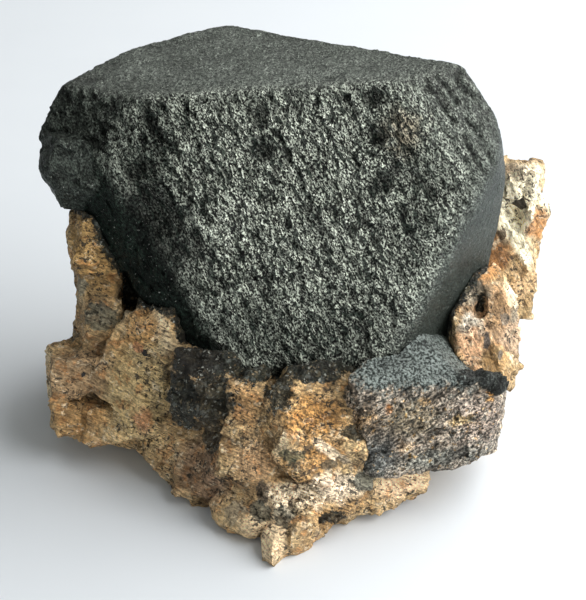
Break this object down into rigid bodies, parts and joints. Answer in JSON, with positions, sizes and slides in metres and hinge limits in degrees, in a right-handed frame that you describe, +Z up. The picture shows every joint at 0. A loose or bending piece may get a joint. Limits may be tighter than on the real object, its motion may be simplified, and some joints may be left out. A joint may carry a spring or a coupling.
{
  "type": "magnetite crystal specimen on feldspar",
  "caption": "Mineral specimen: a large blocky grey-black magnetite crystal and a smaller broken one, set in rough tan feldspar, resting on a flat cut underside.",
  "frame": {"origin": "middle of the specimen's footprint, on the surface that it rests on", "axes": "+Z up, +X to the right as the big crystal's large lit face is seen, +Y from that face towards the back"},
  "size_m": [0.0906, 0.0812, 0.0728],
  "materials": {
    "magnetite": "satin",
    "broken_magnetite": "satin",
    "feldspar": "matte"
  },
  "bodies": {
    "root": {"magnetite_crystal": "magnetite", "broken_side_crystal": "broken_magnetite", "feldspar_matrix": "feldspar"}
  },
  "joints": []
}
